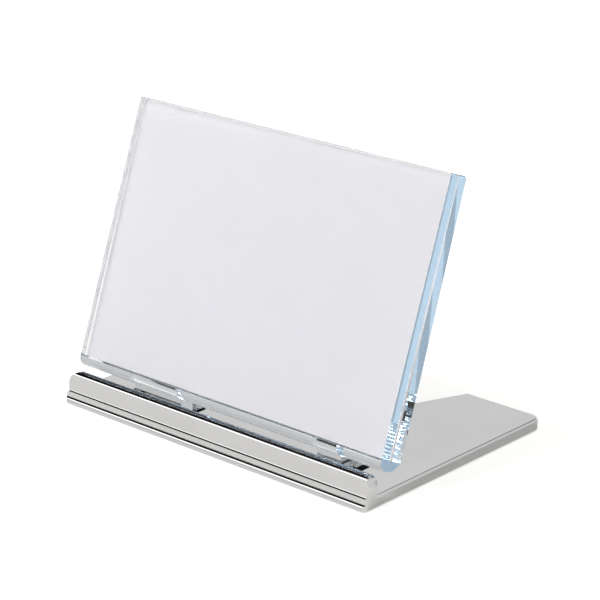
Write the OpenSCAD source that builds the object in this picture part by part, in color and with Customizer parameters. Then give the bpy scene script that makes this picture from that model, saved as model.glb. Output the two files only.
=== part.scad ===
// Card stand: a flat plated base with a raised front rail, a clear pocket that leans back
// on two feet set into the base, and a plain card in the pocket.
// X runs along the rail, Y runs from front to back, Z is up. Z = 0 is the table.

/* [Base plate] */
// Width of the base, side to side
base_w = 95; // [86:0.5:140]
// Depth of the base, from the rim of the ledge to the tips of the legs
base_d = 64.6; // [56:0.2:100]
// Thickness of the base plate
plate_t = 2.6; // [2.2:0.1:5]
// Rounding along the upper edges of the plate
edge_r = 0.7; // [0.3:0.05:1]
// Corner radius at the front of the base
front_corner_r = 1.3; // [0.9:0.1:2]
// Corner radius at the back of the base
rear_corner_r = 3; // [1.5:0.1:6]

/* [Front rail] */
// Height of the rail above the underside of the base
rail_h = 7.4; // [5.5:0.1:8]
// Thickness of the rail at its foot
rail_t = 3.5; // [3:0.1:4.5]
// Angle by which the front face of the rail leans back
rail_rake = 7; // [0:0.5:8]
// Rounding along the top of the rail
rail_top_r = 1.1; // [0.4:0.05:1.15]
// Corner radius at both ends of the rail, seen from the front
rail_end_r = 3; // [0.5:0.1:3.4]
// Rounding of the upright edges at both ends of the rail
rail_side_r = 0.6; // [0.2:0.05:0.9]
// Depth of the low ledge in front of the rail
ledge_d = 1.4; // [1.3:0.1:4]
// Height of the ledge above the underside of the base
ledge_h = 2.3; // [1.8:0.1:2.6]
// Rounding along the rim of the ledge
ledge_edge_r = 0.6; // [0.3:0.05:0.8]
// Radius of the hollow at the foot of the rail
foot_r = 0.5; // [0.2:0.05:0.6]

/* [Rear notch] */
// Width of the notch at its mouth
notch_mouth_w = 50; // [40:0.5:60]
// Depth of the notch, measured from the back edge of the base
notch_d = 22; // [12:0.5:26]
// Angle by which each side of the notch opens towards the back
notch_flare = 22.5; // [5:0.5:30]
// Corner radius at the closed end of the notch
notch_corner_r = 3; // [1:0.1:5]

/* [Seats for the feet] */
// Distance of the outer end of each slot from the middle of the base
slot_reach = 36.4; // [34:0.1:40]
// Length of the left slot
slot_left_l = 22; // [18:0.5:26]
// Length of the right slot
slot_right_l = 12.4; // [9:0.2:16]
// Distance of the back wall of the slots from the front of the base
slot_back = 15.3; // [15:0.1:18]
// Width of the slots, front to back
slot_w = 5.2; // [4.6:0.1:6]
// Corner radius of the slots
slot_corner_r = 0.6; // [0.2:0.1:1]

/* [Underside] */
// Thickness of the non-slip sheet
pad_t = 1; // [0.8:0.1:1.4]
// How far the sheet stands below the base
pad_proud = 0.3; // [0.1:0.05:0.5]
// Margin between the sheet and the outline of the base
pad_margin = 4; // [3:0.1:6]
// Corner radius of the sheet
pad_corner_r = 2; // [1:0.1:3]

/* [Clear pocket] */
// Distance from each side of the base to the side of the pocket
pocket_side_gap = 0; // [0:0.25:4]
// Height of the pocket along its face
pocket_h = 66.4; // [50:0.1:90]
// Angle by which the pocket leans back
lean = 20.4; // [12:0.2:24]
// Thickness of the front wall
front_wall_t = 2.8; // [2.4:0.1:4]
// Thickness of the back wall at the top
back_wall_t = 2.7; // [2.4:0.1:4]
// Angle between the inner faces of the two walls
gap_taper = 0.8; // [0.5:0.1:1.2]
// Angle between the outer faces of the two walls
outer_taper = 1.4; // [1.2:0.1:1.6]
// Width of the gap for the card at the top
gap_top = 0.22; // [0.2:0.02:0.8]
// Thickness of the folded bottom under the card
web_h = 2.2; // [1.5:0.1:4]
// Outer radius of the fold at the bottom of the pocket, in front
fold_front_r = 2.6; // [2:0.1:3.2]
// Outer radius of the fold at the bottom of the pocket, behind
fold_back_r = 3.6; // [2:0.1:3.8]
// Radius of the upper corners of the pocket
pocket_top_r = 0.6; // [0.5:0.1:4]
// Rounding along the upper edges of the walls
wall_edge_r = 0.3; // [0.1:0.05:0.5]
// Height of the front face of the pocket above the top of the base
pocket_lift = 5.65; // [5.4:0.05:9]
// Distance from the back of the rail forward to the lower front edge of the pocket, seen from above
pocket_over_rail = 0; // [-1.5:0.1:0.6]

/* [Feet of the pocket] */
// Width of the left foot
foot_left_w = 15.2; // [10:0.2:17]
// Width of the right foot
foot_right_w = 7.2; // [5:0.2:7.4]
// Thickness of the feet
foot_t = 4; // [3:0.1:4.2]
// Distance of the outer side of the left foot from the outer end of its slot
foot_left_inset = 2.6; // [0.4:0.1:2.8]
// Distance of the outer side of the right foot from the outer end of its slot
foot_right_inset = 4.7; // [0.4:0.1:4.8]
// Gap between the back of a foot and the back wall of its slot
foot_back_gap = 0.6; // [0.2:0.1:0.8]
// Gap between a foot and the sheet under it
foot_clear = 0.2; // [0.05:0.05:0.5]
// Height along the back wall at which the feet run out
foot_grip = 7; // [6:0.5:14]

/* [Card] */
// Distance from each side of the pocket to the side of the card
card_side_gap = 0.15; // [0:0.05:4]
// Distance from the top of the pocket down to the top of the card
card_top_gap = 0.5; // [0.2:0.1:12]
// Thickness of the card
card_t = 0.12; // [0.08:0.01:0.14]
// Gap between the card and the bottom of the pocket
card_clear = 0.05; // [0.02:0.01:0.05]

/* [Hidden] */
$fn = 96;

base_z = pad_proud;
plate_z = base_z + plate_t;
front_y = -base_d / 2;
rear_y = base_d / 2;
side_x = base_w / 2;
// Length by which cutting shapes run past the solid
over = 2;

rail_front_y = front_y + ledge_d;
rail_back_y = rail_front_y + rail_t;
rail_mid_y = rail_front_y + rail_t / 2;
ledge_z = base_z + ledge_h;
rail_z = base_z + rail_h;
// Centres of the arcs that meet the raked face of the rail, at its top and at its foot
rail_top_cz = rail_z - rail_top_r;
rail_top_cy = rail_front_y + (rail_top_cz - ledge_z) * tan(rail_rake) + rail_top_r / cos(rail_rake);
foot_cz = ledge_z + foot_r;
foot_cy = rail_front_y + foot_r * tan(rail_rake) - foot_r / cos(rail_rake);

slot_back_y = front_y + slot_back;
slot_front_y = slot_back_y - slot_w;

notch_y = rear_y - notch_d;
notch_half = notch_mouth_w / 2 - notch_d * tan(notch_flare);
// Centre of the arc in each closed corner of the notch
notch_cx = notch_half - notch_corner_r * (1 - sin(notch_flare)) / cos(notch_flare);
notch_cy = notch_y + notch_corner_r;
notch_far_y = rear_y + over;
notch_far_x = notch_mouth_w / 2 + over * tan(notch_flare);
// Number of steps along each corner of the notch, and up the rounding of its edges
notch_steps = 12;
edge_steps = 6;

pocket_w = base_w - 2 * pocket_side_gap;
// Place of the lower front edge of the pocket, as if the fold were square
pocket_y = rail_back_y - pocket_over_rail;
pocket_z = plate_z + pocket_lift;
// Depth behind the front face of the gap's back and of the outer back, at the top edge
gap_back = front_wall_t + gap_top;
out_back = gap_back + back_wall_t;
// Radius of the rounded bottom of the gap, and the height of its centre
gap_low = gap_top + (pocket_h - web_h) * tan(gap_taper);
gap_r = gap_low * cos(gap_taper) / (1 + cos(gap_taper) + sin(gap_taper));
gap_cz = web_h + gap_r;
// Centre of the back half of the fold
fold_cy = out_back + (pocket_h - fold_back_r) * tan(outer_taper) - fold_back_r / cos(outer_taper);
card_w = pocket_w - 2 * card_side_gap;
card_h = pocket_h - web_h - card_clear - card_top_gap;
// A point on the outer back face at height h along the front face, in the table's frame
function back_face(h) = let (d = out_back + (pocket_h - h) * tan(outer_taper)) [
    pocket_y + d * cos(lean) + h * sin(lean),
    pocket_z - d * sin(lean) + h * cos(lean)
];

foot_back_y = slot_back_y - foot_back_gap;
foot_front_y = foot_back_y - foot_t;
foot_z = pad_t + foot_clear;

// Outline of the notch, moved outwards by n: the far end, one corner, the other corner, the far end
function notch_path(n) = concat(
    [[-notch_far_x - n * cos(notch_flare), notch_far_y - n * sin(notch_flare)]],
    [for (i = [0 : notch_steps])
        let (a = 180 + notch_flare + i * (90 - notch_flare) / notch_steps)
            [-notch_cx + (notch_corner_r + n) * cos(a), notch_cy + (notch_corner_r + n) * sin(a)]],
    [for (i = [0 : notch_steps])
        let (a = 270 + i * (90 - notch_flare) / notch_steps)
            [notch_cx + (notch_corner_r + n) * cos(a), notch_cy + (notch_corner_r + n) * sin(a)]],
    [[notch_far_x + n * cos(notch_flare), notch_far_y - n * sin(notch_flare)]]
);

// Solid of the 2D profile (y, z), drawn from x0 to x1
module along_x(x0, x1) {
    translate([x0, 0, 0])
        rotate([90, 0, 90])
            linear_extrude(height = x1 - x0)
                children();
}

// Solid of the 2D profile (x, z), drawn from y0 to y1
module along_y(y0, y1) {
    translate([0, y1, 0])
        rotate([90, 0, 0])
            linear_extrude(height = y1 - y0)
                children();
}

// Rectangle [0, w] x [0, h] with both upper corners rounded by r
module top_rounded(w, h, r) {
    square([w, h - r]);
    translate([r, 0])
        square([w - 2 * r, h]);
    for (x = [r, w - r])
        translate([x, h - r])
            circle(r = r);
}

// Rectangle centred on the origin with its corners rounded by r
module soft_rect(w, h, r) {
    square([w - 2 * r, h], center = true);
    square([w, h - 2 * r], center = true);
    for (sx = [-1, 1], sy = [-1, 1])
        translate([sx * (w / 2 - r), sy * (h / 2 - r)])
            circle(r = r);
}

// Edge of a slab seen in section: width w, height h, upper outer corner rounded by e
module edge_section(w, h, e) {
    square([w, h - e]);
    square([w - e, h]);
    translate([w - e, h - e])
        intersection() {
            circle(r = e);
            square(e);
        }
}

// Slab from y0 to the far edge y1, with rounded far corners r and edges rounded by e at its
// far edge and both sides; z runs from base_z to base_z + h
module rounded_slab(y0, y1, h, r, e) {
    translate([0, 0, base_z]) {
        along_x(r - side_x, side_x - r)
            translate([y0, 0])
                edge_section(y1 - y0, h, e);
        for (s = [0, 1])
            mirror([s, 0, 0]) {
                along_y(y0, y1 - r)
                    translate([side_x - r, 0])
                        edge_section(r, h, e);
                translate([side_x - r, y1 - r, 0])
                    rotate_extrude(angle = 90)
                        edge_section(r, h, e);
            }
    }
}

// Section of the rail: raked face in front, upright face behind, both rounded at the top
module rail_section() {
    polygon([
        [rail_back_y, base_z], [rail_back_y, rail_top_cz],
        [rail_back_y - rail_top_r, rail_top_cz], [rail_back_y - rail_top_r, rail_z],
        [rail_top_cy, rail_z], [rail_top_cy, rail_top_cz],
        [rail_top_cy - rail_top_r * cos(rail_rake), rail_top_cz + rail_top_r * sin(rail_rake)],
        [rail_front_y, ledge_z], [rail_front_y, base_z]
    ]);
    translate([rail_back_y - rail_top_r, rail_top_cz])
        circle(r = rail_top_r);
    translate([rail_top_cy, rail_top_cz])
        circle(r = rail_top_r);
}

// Section of the hollow between the ledge and the face of the rail
module foot_hollow_section() {
    difference() {
        polygon([
            [foot_cy, ledge_z - foot_r], [foot_cy, ledge_z], [foot_cy, foot_cz],
            [foot_cy + foot_r * cos(rail_rake), foot_cz - foot_r * sin(rail_rake)],
            [rail_front_y + foot_r, foot_cz - foot_r * sin(rail_rake)],
            [rail_front_y + foot_r, ledge_z - foot_r]
        ]);
        translate([foot_cy, foot_cz])
            circle(r = foot_r);
    }
}

module rail() {
    intersection() {
        along_x(-side_x, side_x)
            rail_section();
        along_y(rail_front_y - over, rail_back_y + over)
            translate([-side_x, base_z])
                top_rounded(base_w, rail_h, rail_end_r);
        linear_extrude(height = rail_z + over)
            translate([0, rail_mid_y])
                soft_rect(base_w, rail_t, rail_side_r);
    }
    along_x(ledge_edge_r - side_x, side_x - ledge_edge_r)
        foot_hollow_section();
}

// Space of the notch: its outline swept up through the plate and out over the rounded upper edge
module notch_cut() {
    rings = concat(
        [[0, base_z - over]],
        [for (j = [0 : edge_steps])
            let (a = 90 * j / edge_steps)
                [edge_r * (1 - cos(a)), plate_z - edge_r * (1 - sin(a))]],
        [[edge_r, plate_z + over]]
    );
    n = len(notch_path(0));
    polyhedron(
        points = [for (ring = rings, p = notch_path(ring[0])) [p[0], p[1], ring[1]]],
        faces = concat(
            [[for (i = [0 : n - 1]) i]],
            [for (j = [0 : len(rings) - 2], i = [0 : n - 1])
                let (k = (i + 1) % n)
                    [j * n + i, (j + 1) * n + i, (j + 1) * n + k, j * n + k]],
            [[for (i = [n - 1 : -1 : 0]) (len(rings) - 1) * n + i]]
        )
    );
}

// Plan of the sheet under the base
module pad_plan() {
    difference() {
        soft_rect(base_w - 2 * pad_margin, base_d - 2 * pad_margin, pad_corner_r);
        polygon(notch_path(pad_margin));
    }
}

// Rounded slots through the plate, left and right
module slot_cuts() {
    for (slot = [[-slot_reach, slot_left_l], [slot_reach - slot_right_l, slot_right_l]])
        translate([slot[0] + slot[1] / 2, (slot_front_y + slot_back_y) / 2, base_z - over])
            linear_extrude(height = plate_t + 2 * over)
                soft_rect(slot[1], slot_w, slot_corner_r);
}

module base() {
    color("silver")
        difference() {
            union() {
                rounded_slab(rail_mid_y, rear_y, plate_t, rear_corner_r, edge_r);
                mirror([0, 1, 0])
                    rounded_slab(-rail_mid_y, -front_y, ledge_h, front_corner_r, ledge_edge_r);
                rail();
            }
            notch_cut();
            slot_cuts();
            linear_extrude(height = pad_t)
                pad_plan();
        }
}

module base_pad() {
    color("dimgray")
        linear_extrude(height = pad_t)
            pad_plan();
}

// Section of the pocket: x is the depth behind the front face, y is the height along it.
// Two walls stand on a round fold, and the gap between them widens downwards to a round bottom.
module pocket_section() {
    top = pocket_h - wall_edge_r;
    difference() {
        union() {
            polygon([
                [0, fold_front_r], [fold_front_r, fold_front_r], [fold_front_r, 0],
                [fold_cy, 0], [fold_cy, fold_back_r],
                [fold_cy + fold_back_r * cos(outer_taper), fold_back_r * (1 + sin(outer_taper))],
                [out_back, top], [out_back - wall_edge_r, top],
                [out_back - wall_edge_r, pocket_h], [wall_edge_r, pocket_h], [wall_edge_r, top], [0, top]
            ]);
            translate([fold_front_r, fold_front_r])
                circle(r = fold_front_r);
            translate([fold_cy, fold_back_r])
                circle(r = fold_back_r);
            for (x = [wall_edge_r, out_back - wall_edge_r])
                translate([x, top])
                    circle(r = wall_edge_r);
        }
        polygon([
            [front_wall_t, gap_cz], [front_wall_t + gap_r, gap_cz],
            [front_wall_t + gap_r * (1 + cos(gap_taper)), gap_cz + gap_r * sin(gap_taper)],
            [gap_back - over * tan(gap_taper), pocket_h + over], [front_wall_t, pocket_h + over]
        ]);
        translate([front_wall_t + gap_r, gap_cz])
            circle(r = gap_r);
    }
}

// Outline of the pocket seen square to its face
module pocket_outline() {
    translate([-pocket_w / 2, -over])
        top_rounded(pocket_w, pocket_h + over, pocket_top_r);
}

// Places what is drawn with Y as depth and Z as height along the face
module leaning() {
    translate([0, pocket_y, pocket_z])
        rotate([-lean, 0, 0])
            children();
}

// Side of a foot: it stands in the slot and runs up behind the fold into the back wall
module foot_section() {
    polygon([
        [foot_front_y, foot_z], [foot_back_y, foot_z],
        [foot_back_y, back_face(foot_grip)[1] - (back_face(foot_grip)[0] - foot_back_y)],
        back_face(foot_grip),
        back_face(foot_grip) - [1, 0],
        [foot_front_y, back_face(foot_grip)[1] - foot_grip / 2]
    ]);
}

module card_pocket() {
    color("lightcyan", 0.4) {
        leaning()
            intersection() {
                along_x(-pocket_w / 2, pocket_w / 2)
                    pocket_section();
                along_y(-over, fold_cy + fold_back_r + over)
                    pocket_outline();
            }
        along_x(foot_left_inset - slot_reach, foot_left_inset - slot_reach + foot_left_w)
            foot_section();
        along_x(slot_reach - foot_right_inset - foot_right_w, slot_reach - foot_right_inset)
            foot_section();
    }
}

// The card stands on the bottom of the gap and lies midway between the walls
module card() {
    color("ghostwhite")
        leaning()
            translate([0, front_wall_t + gap_r, web_h + card_clear])
                rotate([gap_taper / 2, 0, 0])
                    translate([-card_w / 2, -card_t / 2, 0])
                        cube([card_w, card_t, card_h]);
}

base();
base_pad();
card_pocket();
card();
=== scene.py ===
# %% [markdown]
# # A small card stand, dressed in Blender
# The stand is a flat plated base with a raised rail along its front, a clear pocket
# that leans back on two feet, and a plain card in the pocket. The measured solids
# arrive as a fixed frame. This lesson gives them their finishes, lights them like a
# catalogue picture and sets the camera where the photographer stood.

# %% Load the measured solids
import math

import bmesh
import bpy
from mathutils import Matrix, Vector


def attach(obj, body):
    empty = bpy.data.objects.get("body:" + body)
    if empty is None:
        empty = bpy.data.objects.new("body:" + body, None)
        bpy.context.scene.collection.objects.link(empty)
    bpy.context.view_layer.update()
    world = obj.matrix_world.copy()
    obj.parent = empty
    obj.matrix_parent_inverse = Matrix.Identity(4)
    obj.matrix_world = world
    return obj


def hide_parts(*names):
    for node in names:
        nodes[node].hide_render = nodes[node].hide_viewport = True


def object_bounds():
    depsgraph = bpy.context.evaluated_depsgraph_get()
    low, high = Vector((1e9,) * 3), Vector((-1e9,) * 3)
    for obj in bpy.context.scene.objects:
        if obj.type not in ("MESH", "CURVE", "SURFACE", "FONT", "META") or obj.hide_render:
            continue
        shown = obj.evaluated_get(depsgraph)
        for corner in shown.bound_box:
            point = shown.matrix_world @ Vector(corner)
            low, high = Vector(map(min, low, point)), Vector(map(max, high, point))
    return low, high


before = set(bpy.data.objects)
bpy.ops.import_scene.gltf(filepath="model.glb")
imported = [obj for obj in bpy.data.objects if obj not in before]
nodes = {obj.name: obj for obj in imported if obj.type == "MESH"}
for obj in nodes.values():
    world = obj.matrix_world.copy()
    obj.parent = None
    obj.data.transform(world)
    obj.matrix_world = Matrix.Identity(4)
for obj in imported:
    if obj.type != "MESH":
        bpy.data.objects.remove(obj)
box_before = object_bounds()
print("solids:", sorted(nodes))

# %% [markdown]
# ## The camera
# A long lens keeps the rail and the legs of the base almost parallel, as they are in
# the photograph. The direction and the distance were worked out from the corners of
# the base, so the camera is placed by numbers and not by eye.

# %% Set the camera
CAMERA_PLACE = Vector((0.35669, -0.39635, 0.22197))
LOOK_RIGHT = Vector((0.74321, 0.66906, 0.0))
LOOK_UP = Vector((-0.22748, 0.25269, 0.94043))
LENS_MM, SENSOR_MM = 145.38, 36.0

camera_data = bpy.data.cameras.new("camera")
camera_data.lens = LENS_MM
camera_data.sensor_width = SENSOR_MM
camera = bpy.data.objects.new("camera", camera_data)
look_back = LOOK_RIGHT.cross(LOOK_UP)
camera.matrix_world = Matrix.Translation(CAMERA_PLACE) @ Matrix(
    (LOOK_RIGHT, LOOK_UP, look_back)).transposed().to_4x4()
bpy.context.scene.collection.objects.link(camera)
bpy.context.scene.camera = camera
print("camera looks along", [round(-c, 3) for c in look_back])

# %% [markdown]
# ## Helpers for materials
# Every finish starts from the same few steps: a new material, its Principled shader,
# and a pattern that is read in object coordinates, so that it stays fixed to the
# piece in every view.

# %% Start a material
def new_finish(name, **sockets):
    """A material with a Principled shader whose sockets are set to plain values."""
    material = bpy.data.materials.new(name)
    material.use_nodes = True
    shader = material.node_tree.nodes["Principled BSDF"]
    for socket, value in sockets.items():
        shader.inputs[socket.replace("_", " ")].default_value = value
    return material, material.node_tree, shader


# %% Add a pattern in object coordinates
def object_noise(tree, scale, detail):
    """The value of a noise texture on object coordinates."""
    place = tree.nodes.new("ShaderNodeTexCoord")
    noise = tree.nodes.new("ShaderNodeTexNoise")
    noise.inputs["Scale"].default_value = scale
    noise.inputs["Detail"].default_value = detail
    tree.links.new(place.outputs["Object"], noise.inputs["Vector"])
    return noise.outputs["Fac"]


# %% Turn a pattern into a range of values
def spread(tree, source, low, high, start=0.35, end=0.65):
    """Maps a pattern's value from start..end to low..high."""
    ranged = tree.nodes.new("ShaderNodeMapRange")
    ranged.inputs["From Min"].default_value = start
    ranged.inputs["From Max"].default_value = end
    ranged.inputs["To Min"].default_value = low
    ranged.inputs["To Max"].default_value = high
    tree.links.new(source, ranged.inputs["Value"])
    return ranged.outputs["Result"]


# %% Turn a pattern into a colour
def blend_colours(tree, source, first, second):
    """Mixes two colours by a pattern."""
    mix = tree.nodes.new("ShaderNodeMix")
    mix.data_type = "RGBA"
    mix.inputs["A"].default_value = (*first, 1.0)
    mix.inputs["B"].default_value = (*second, 1.0)
    tree.links.new(source, mix.inputs["Factor"])
    return mix.outputs["Result"]


# %% Turn a pattern into small bumps
def bump(tree, shader, source, height, strength):
    """Feeds a pattern into the shader's normal as bumps of that height in metres."""
    node = tree.nodes.new("ShaderNodeBump")
    node.inputs["Strength"].default_value = strength
    node.inputs["Distance"].default_value = height
    tree.links.new(source, node.inputs["Height"])
    tree.links.new(node.outputs["Normal"], shader.inputs["Normal"])


# %% [markdown]
# ## Bright plating on the base
# The base is plated like a tap: it shows almost nothing of its own, only the studio.
# Chrome gives back a little more than half of the light, so its colour is a middle
# grey. Faint waves left by polishing keep the reflections from looking drawn with a
# ruler.

# %% Make the plating
DARK_CHROME, LIGHT_CHROME = (0.615, 0.615, 0.615), (0.635, 0.635, 0.635)
WAVE_HEIGHT = 0.00002

plating, tree, shader = new_finish("bright_plating", Metallic=1.0)
waves = object_noise(tree, 60.0, 2.0)
tree.links.new(spread(tree, waves, 0.02, 0.045), shader.inputs["Roughness"])
tree.links.new(
    blend_colours(tree, spread(tree, waves, 0.0, 1.0), DARK_CHROME, LIGHT_CHROME),
    shader.inputs["Base Color"])
bump(tree, shader, waves, WAVE_HEIGHT, 0.1)
print("plating made")

# %% [markdown]
# ## The stepped front of the base
# Below the rail the front of the real base is not plain. A narrow band runs along it,
# and under the band a rounded lip stands out by less than a millimetre. The step is
# too fine to matter in the solids, but it draws a black and a white line along the
# whole front, so it is cut here. A copy of the base is merged, its ledge is raised a
# little, and one long cutter with the lip's profile takes the step out of it.

# %% Copy the base
MM = 0.001
FLAT_ENOUGH = math.radians(0.3)

plated_base = bpy.data.objects.new("plated_base", bpy.data.meshes.new("plated_base"))
bpy.context.scene.collection.objects.link(plated_base)
shape = bmesh.new()
shape.from_mesh(nodes["base"].data)
bmesh.ops.remove_doubles(shape, verts=shape.verts, dist=0.001 * MM)
bmesh.ops.dissolve_limit(
    shape, angle_limit=FLAT_ENOUGH, verts=shape.verts, edges=shape.edges)
print("base copied:", len(shape.faces), "faces")

# %% [markdown]
# The ledge moves up along the slope of the rail's face, so that the face stays flat.
# Points above the fillet move less and less, and from RAISE_END up nothing moves.

# %% Raise the ledge
FRONT_Y = box_before[0][1]
LEDGE_BACK = FRONT_Y + 2.05 * MM
LEDGE_LOW, LEDGE_FULL, RAISE_END = 1.9 * MM, 3.1 * MM, 5.0 * MM
LEDGE_RAISE = 0.4 * MM
RAIL_RAKE = math.radians(7)

for vert in shape.verts:
    if vert.co.y < LEDGE_BACK and vert.co.z > LEDGE_LOW:
        share = min(max((RAISE_END - vert.co.z) / (RAISE_END - LEDGE_FULL), 0.0), 1.0)
        vert.co.z += LEDGE_RAISE * share
        vert.co.y += LEDGE_RAISE * share * math.tan(RAIL_RAKE)
shape.to_mesh(plated_base.data)
shape.free()
print("ledge raised by", LEDGE_RAISE / MM, "mm")

# %% [markdown]
# The lip is a soft arc, a short slope and a second arc down to the front. The cutter
# starts as one long edge over the lip. The edge is spun through the first arc, pulled
# down the slope, spun through the second arc and pulled round a box in front of the
# stand. So the cutter is hollow where the lip stays.

# %% Size the lip
LIP_TOP, STEP_DEPTH = 1.70 * MM, 0.97 * MM
SLOPE_TILT = math.radians(62)
SLOPE_LENGTH, LOW_RADIUS = 0.38 * MM, 0.5 * MM
PAST_FRONT = 0.005 * MM
ARC_STEPS = 8
CUTTER_HALF, CUTTER_AHEAD, CUTTER_TOP = 60 * MM, 2 * MM, 7 * MM

slope_in = SLOPE_LENGTH * math.cos(SLOPE_TILT)
slope_down = SLOPE_LENGTH * math.sin(SLOPE_TILT)
top_radius = (STEP_DEPTH + PAST_FRONT - slope_in
              - LOW_RADIUS * (1 - math.sin(SLOPE_TILT))) / math.sin(SLOPE_TILT)
print("radius of the lip's upper arc:", round(top_radius / MM, 3), "mm")


# %% Spin or pull the last edge
def spin_on(edge, centre_y, centre_z, angle):
    """Spins an edge about a line along the front and returns the new last edge."""
    arc = bmesh.ops.spin(
        shape, geom=[edge, *edge.verts], cent=(0.0, centre_y, centre_z),
        axis=(1.0, 0.0, 0.0), angle=angle, steps=ARC_STEPS, use_duplicate=False)
    return next(item for item in arc["geom_last"] if isinstance(item, bmesh.types.BMEdge))


def is_long(edge):
    """True for an edge that runs the whole length of the cutter."""
    return edge.calc_length() > CUTTER_HALF


def pull_on(edge, to_y, to_z):
    """Pulls a copy of an edge to a place, with a face between, and returns the copy."""
    pulled = bmesh.ops.extrude_edge_only(shape, edges=[edge])["geom"]
    new_edge = next(item for item in pulled
                    if isinstance(item, bmesh.types.BMEdge) and is_long(item))
    here = new_edge.verts[0].co
    bmesh.ops.translate(
        shape, verts=list(new_edge.verts), vec=(0.0, to_y - here.y, to_z - here.z))
    return new_edge


# %% Shape the cutter
shape = bmesh.new()
step_y = FRONT_Y + STEP_DEPTH
first = shape.edges.new([shape.verts.new((x, step_y, LIP_TOP))
                         for x in (-CUTTER_HALF, CUTTER_HALF)])
last = spin_on(first, step_y, LIP_TOP - top_radius, SLOPE_TILT)
here = last.verts[0].co
last = pull_on(last, here.y - slope_in, here.z - slope_down)
here = last.verts[0].co
last = spin_on(last, here.y + LOW_RADIUS * math.sin(SLOPE_TILT),
               here.z - LOW_RADIUS * math.cos(SLOPE_TILT), math.pi / 2 - SLOPE_TILT)
last = pull_on(last, FRONT_Y - CUTTER_AHEAD, last.verts[0].co.z)
last = pull_on(last, FRONT_Y - CUTTER_AHEAD, CUTTER_TOP)
last = pull_on(last, step_y, CUTTER_TOP)
bmesh.ops.bridge_loops(shape, edges=[last, first])
bmesh.ops.holes_fill(shape, edges=[edge for edge in shape.edges if edge.is_boundary])
bmesh.ops.recalc_face_normals(shape, faces=shape.faces)
cutter = bpy.data.objects.new("cutter", bpy.data.meshes.new("cutter"))
bpy.context.scene.collection.objects.link(cutter)
shape.to_mesh(cutter.data)
print("cutter:", len(shape.faces), "faces,",
      sum(not edge.is_manifold for edge in shape.edges), "open edges")
shape.free()

# %% Cut the step
cut = plated_base.modifiers.new("cut", "BOOLEAN")
cut.operation = "DIFFERENCE"
cut.solver = "EXACT"
cut.object = cutter
bpy.context.view_layer.update()
stepped = bpy.data.meshes.new_from_object(
    plated_base.evaluated_get(bpy.context.evaluated_depsgraph_get()))
plated_base.modifiers.clear()
plated_base.data = stepped
bpy.data.objects.remove(cutter)
print("step cut:", len(stepped.polygons), "faces")

# %% [markdown]
# Chrome shows every unevenness of the shading. Long flat faces beside narrow round ones
# shade evenly when each corner's normal follows its largest face.

# %% Shade the stepped base
SHARP_ANGLE = math.radians(35)
for face in stepped.polygons:
    face.use_smooth = True
stepped.set_sharp_from_angle(angle=SHARP_ANGLE)
even = plated_base.modifiers.new("even_shading", "WEIGHTED_NORMAL")
even.keep_sharp = True
even.weight = 100
stepped.materials.clear()
stepped.materials.append(plating)
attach(plated_base, "root")
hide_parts("base")
print("stepped base stands in for the plain one")

# %% [markdown]
# ## The non-slip sheet under the base
# Black shows through the slots, and the stand needs a soft sheet to stay put. The
# sheet's black is partly its own colour and partly painted shade, standing in for the
# dark down in the slots, where little light gets under the base. Foam rubber of this
# kind has a fine matt grain.

# %% Make the black sheet
# This black is the sheet's own colour and also paints the shade seen down in the slots.
DEEP_BLACK, WORN_BLACK = (0.006, 0.006, 0.008), (0.014, 0.014, 0.017)
GRAIN_HEIGHT = 0.0001

rubber_and_slot_shade, tree, shader = new_finish("black_rubber_and_slot_shade", Roughness=0.8)
grain = object_noise(tree, 1800.0, 3.0)
tree.links.new(
    blend_colours(tree, spread(tree, grain, 0.0, 1.0), DEEP_BLACK, WORN_BLACK),
    shader.inputs["Base Color"])
bump(tree, shader, grain, GRAIN_HEIGHT, 0.4)
print("black sheet made")

# %% [markdown]
# ## The clear pocket
# The pocket is moulded in clear acrylic. Its faces are nearly invisible, but light
# that has run a long way inside the walls comes out pale blue at the edges. That is
# absorption in the volume, so the tint grows by itself with the length of the path.
# Handling leaves the faces a trace less than perfectly smooth.

# %% Make the clear plastic
ACRYLIC_IOR = 1.49
TINT, TINT_PER_METRE = (0.0, 0.46, 0.80, 1.0), 5.9

clear, tree, shader = new_finish(
    "clear_acrylic", IOR=ACRYLIC_IOR, Transmission_Weight=1.0,
    Base_Color=(1.0, 1.0, 1.0, 1.0))
handling = object_noise(tree, 35.0, 3.0)
tree.links.new(spread(tree, handling, 0.0, 0.02, 0.45, 0.75), shader.inputs["Roughness"])
absorb = tree.nodes.new("ShaderNodeVolumeAbsorption")
absorb.inputs["Color"].default_value = TINT
absorb.inputs["Density"].default_value = TINT_PER_METRE
tree.links.new(absorb.outputs["Volume"], tree.nodes["Material Output"].inputs["Volume"])
print("clear plastic made")

# %% [markdown]
# ## The card
# The card is smooth white stock, a touch cool. Paper is never quite even: very fine
# fibres vary its tone by a percent or two.

# %% Make the card stock
SHADED_FIBRE, LIT_FIBRE = (0.885, 0.86, 0.895), (0.90, 0.875, 0.91)

stock, tree, shader = new_finish("card_stock", Roughness=0.6)
fibres = object_noise(tree, 1600.0, 3.0)
tree.links.new(
    blend_colours(tree, spread(tree, fibres, 0.0, 1.0), SHADED_FIBRE, LIT_FIBRE),
    shader.inputs["Base Color"])
print("card stock made")

# %% [markdown]
# Each solid of the frame gets one finish. The plain base is dressed too, although the
# stepped one stands in for it.

# %% Put the finishes on the solids
for node, finish in (("base", plating), ("base_pad", rubber_and_slot_shade),
                     ("card_pocket", clear), ("card", stock)):
    slots = nodes[node].data.materials
    slots.clear()
    slots.append(finish)
    print(node, "wears", finish.name)

# %% [markdown]
# ## The studio
# The photograph has a pure white ground with hardly any shadow. The floor is pale and
# glows a little for the camera, so it reads as white while the stand still darkens it
# where it blocks the light. Chrome mirrors the floor beside it, so for mirrored rays
# the floor hardly glows: that keeps the rail's face a shade darker than the ground.

# %% Lay the floor
FLOOR_HALF = 3.0

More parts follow.
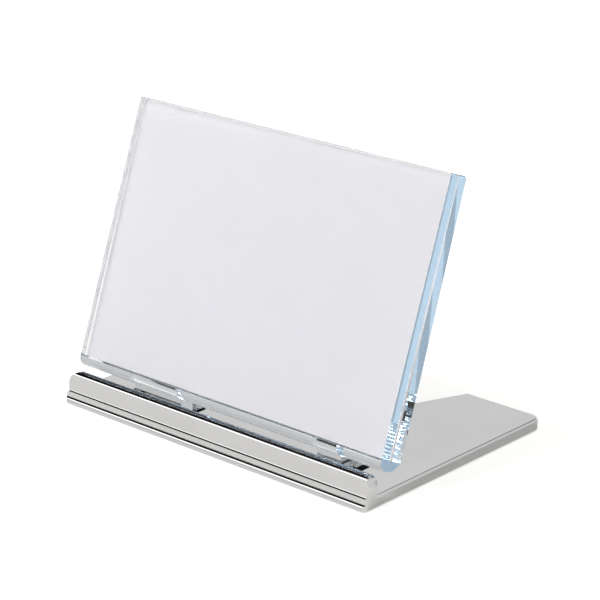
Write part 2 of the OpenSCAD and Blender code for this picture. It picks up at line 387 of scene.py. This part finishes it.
mesh = bpy.data.meshes.new("floor")
shape = bmesh.new()
bmesh.ops.create_grid(shape, x_segments=1, y_segments=1, size=FLOOR_HALF)
shape.to_mesh(mesh)
shape.free()
floor = bpy.data.objects.new("floor", mesh)
bpy.context.scene.collection.objects.link(floor)
print("floor laid")


# %% Join two values with plain arithmetic
def reckon(tree, operation, first, second):
    """A Math node's result; the second value is a socket or a number."""
    node = tree.nodes.new("ShaderNodeMath")
    node.operation = operation
    tree.links.new(first, node.inputs[0])
    if isinstance(second, float):
        node.inputs[1].default_value = second
    else:
        tree.links.new(second, node.inputs[1])
    return node.outputs[0]


# %% Paint the floor
FLOOR_COLOUR = (0.80, 0.79, 0.77, 1.0)
CAMERA_GLOW, MIRROR_GLOW, PLASTIC_GLOW = 0.47, 0.04, 0.05

paint, tree, shader = new_finish("floor_paint", Roughness=0.9, Base_Color=FLOOR_COLOUR)
shader.inputs["Specular IOR Level"].default_value = 0.0
rays = tree.nodes.new("ShaderNodeLightPath").outputs
glow = reckon(tree, "MULTIPLY", rays["Is Camera Ray"], CAMERA_GLOW)
for ray, strength in (("Is Glossy Ray", MIRROR_GLOW), ("Is Transmission Ray", PLASTIC_GLOW)):
    glow = reckon(tree, "MAXIMUM", glow, reckon(tree, "MULTIPLY", rays[ray], strength))
shader.inputs["Emission Color"].default_value = (1.0, 1.0, 1.0, 1.0)
tree.links.new(glow, shader.inputs["Emission Strength"])
mesh.materials.append(paint)
print("floor painted")

# %% [markdown]
# A photographer of chrome hangs dark flags beside the set. Here the flag is a part of
# the sky on the left, from 26 to 57 degrees up. Every rounded edge that faces it shows
# a thin black line. A weaker flag behind the stand draws the grey crease along the
# right side of the plate. Seen straight through the plastic the sky is greyer, as the
# rims of the pocket are in the photograph.

# %% Start the sky
world = bpy.data.worlds.new("studio")
bpy.context.scene.world = world
world.use_nodes = True
tree = world.node_tree
direction = tree.nodes.new("ShaderNodeTexCoord")
split = tree.nodes.new("ShaderNodeSeparateXYZ")
tree.links.new(direction.outputs["Generated"], split.inputs["Vector"])
across, behind, above = (split.outputs[axis] for axis in "XYZ")
print("sky started")


# %% Fade between two directions
def fade(source, start, end):
    """Rises from 0 to 1 as the value goes from start to end, either way round."""
    ranged = tree.nodes.new("ShaderNodeMapRange")
    ranged.inputs["From Min"].default_value = start
    ranged.inputs["From Max"].default_value = end
    tree.links.new(source, ranged.inputs["Value"])
    return ranged.outputs["Result"]


def overlap(*fades):
    """The product of several fades: 1 only where all of them are."""
    result = fades[0]
    for other in fades[1:]:
        result = reckon(tree, "MULTIPLY", result, other)
    return result


# %% Hang the flags
WEAK_FLAG_SHARE = 0.6

flag = overlap(fade(above, 0.43, 0.45), fade(above, 0.86, 0.82),
               fade(behind, 0.78, 0.70), fade(behind, -0.50, -0.40),
               fade(across, -0.30, -0.40))
weak_flag = overlap(fade(above, 0.43, 0.46), fade(above, 0.78, 0.70),
                    fade(behind, 0.45, 0.55), fade(across, 0.20, 0.05))
flags = reckon(tree, "MAXIMUM", flag,
               reckon(tree, "MULTIPLY", weak_flag, WEAK_FLAG_SHARE))
print("flags hung")


# %% Mix two greys
def grey_or(share, base, grey):
    """Goes from a colour or a grey to another grey as the share rises."""
    mix = tree.nodes.new("ShaderNodeMix")
    mix.data_type = "RGBA"
    tree.links.new(share, mix.inputs["Factor"])
    if isinstance(base, float):
        mix.inputs["A"].default_value = (base, base, base, 1.0)
    else:
        tree.links.new(base, mix.inputs["A"])
    mix.inputs["B"].default_value = (grey, grey, grey, 1.0)
    return mix.outputs["Result"]


# %% Colour the sky
SKY_LEVEL, FLAG_LEVEL, THROUGH_LEVEL, GROUND_WHITE = 0.87, 0.01, 0.6, 1.0

rays = tree.nodes.new("ShaderNodeLightPath").outputs
before_diffuse = reckon(tree, "LESS_THAN", rays["Diffuse Depth"], 0.5)
through = reckon(tree, "MULTIPLY", rays["Is Transmission Ray"], before_diffuse)
sky_colour = grey_or(flags, SKY_LEVEL, FLAG_LEVEL)
sky_colour = grey_or(rays["Is Camera Ray"], sky_colour, GROUND_WHITE)
sky_colour = grey_or(through, sky_colour, THROUGH_LEVEL)
background = tree.nodes["Background"]
tree.links.new(sky_colour, background.inputs["Color"])
background.inputs["Strength"].default_value = 1.0
print("sky lit")

# %% [markdown]
# Two lamps are enough. The key lamp lights the card from the front left and is hidden
# from mirrored rays. The low lamp is a long strip under the flag: it is the white line
# that runs beside each black one.

# %% Hang the soft lamps
def soft_lamp(name, place, target, wide, high, power):
    """A rectangular area lamp that faces a point."""
    lamp = bpy.data.lights.new(name, "AREA")
    lamp.shape = "RECTANGLE"
    lamp.size = wide
    lamp.size_y = high
    lamp.energy = power
    holder = bpy.data.objects.new(name, lamp)
    aim = (Vector(target) - Vector(place)).to_track_quat("-Z", "Y")
    holder.matrix_world = Matrix.Translation(place) @ aim.to_matrix().to_4x4()
    bpy.context.scene.collection.objects.link(holder)
    return holder


key = soft_lamp("key_lamp", place=(-0.55, -0.85, 0.85), target=(0.0, 0.0, 0.03),
                wide=0.7, high=0.7, power=12.0)
key.visible_glossy = False
soft_lamp("low_lamp", place=(-0.95, -0.95, 0.74), target=(0.0, 0.0, 0.0),
          wide=1.5, high=0.34, power=2.8)
print("lamps hung")

# %% [markdown]
# ## The look of the picture
# Standard shows the colours as they are written. Light bounces many times inside the
# walls of the pocket before it leaves at an edge, and each inner reflection counts as
# glossy. With the usual few bounces the edges would turn black, so all three limits
# are high.

# %% Set the view
MANY_BOUNCES = 48

scene = bpy.context.scene
scene.view_settings.view_transform = "Standard"
scene.cycles.max_bounces = MANY_BOUNCES
scene.cycles.transmission_bounces = MANY_BOUNCES
scene.cycles.glossy_bounces = MANY_BOUNCES
print("view set")

# %% Finish
print("finished")
